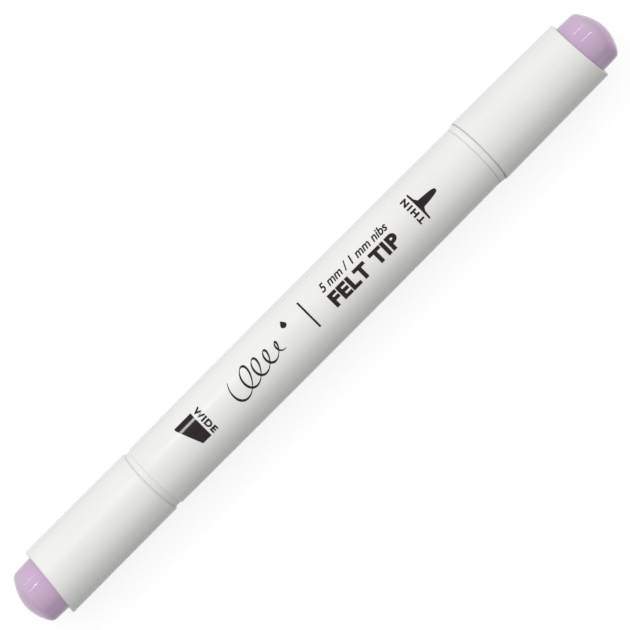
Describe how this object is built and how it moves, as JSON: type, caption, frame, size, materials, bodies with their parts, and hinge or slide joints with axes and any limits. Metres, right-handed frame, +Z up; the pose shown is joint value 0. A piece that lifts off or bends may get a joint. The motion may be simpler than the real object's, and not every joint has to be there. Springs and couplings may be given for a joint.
{
  "type": "felt tip marker",
  "caption": "Round double-ended felt tip marker with a broad chisel nib and a fine bullet nib, each under a pull-off cap with a slanted rim and a domed, coloured end plug.",
  "frame": {"origin": "on the surface that the marker lies on, under the middle of its length", "axes": "+X along the marker towards the fine end, +Z up towards the printed side, +Y across"},
  "size_m": [0.1502, 0.0142, 0.0142],
  "materials": {
    "white_plastic": "white, smooth moulded, softly glossy",
    "holder_plastic": "white, smooth moulded",
    "lavender_plastic": "lavender, smooth moulded, glossy",
    "liner_plastic": "natural, milky",
    "inked_felt": "pressed felt soaked with lavender ink",
    "inked_fibre": "fibre bundle soaked with lavender ink",
    "clear_film": "thin clear film",
    "print_ink": "dark printed ink, satin"
  },
  "bodies": {
    "marker_body": {"barrel_tube": "white_plastic", "broad_nib_holder": "holder_plastic", "fine_nib_holder": "holder_plastic", "broad_chisel_nib": "inked_felt", "fine_bullet_nib": "inked_felt", "ink_reservoir_core": "inked_fibre", "reservoir_film_sleeve": "clear_film"},
    "broad_cap_carrier": {"broad_cap_liner": "liner_plastic"},
    "broad_cap": {"broad_cap_shell": "white_plastic", "broad_cap_end_plug": "lavender_plastic"},
    "fine_cap_carrier": {"fine_cap_liner": "liner_plastic"},
    "fine_cap": {"fine_cap_shell": "white_plastic", "fine_cap_end_plug": "lavender_plastic"}
  },
  "joints": [
    {"name": "broad_cap_pull", "type": "slide", "parent": "marker_body", "child": "broad_cap_carrier", "axis": [-1, 0, 0], "range_m": [0, 0.03]},
    {"name": "broad_cap_turn", "type": "hinge", "parent": "broad_cap_carrier", "child": "broad_cap", "pos_m": [-0.0557, 0, 0.00712], "axis": [-1, 0, 0], "continuous": true},
    {"name": "fine_cap_pull", "type": "slide", "parent": "marker_body", "child": "fine_cap_carrier", "axis": [1, 0, 0], "range_m": [0, 0.03]},
    {"name": "fine_cap_turn", "type": "hinge", "parent": "fine_cap_carrier", "child": "fine_cap", "pos_m": [0.0557, 0, 0.00712], "axis": [1, 0, 0], "continuous": true}
  ]
}
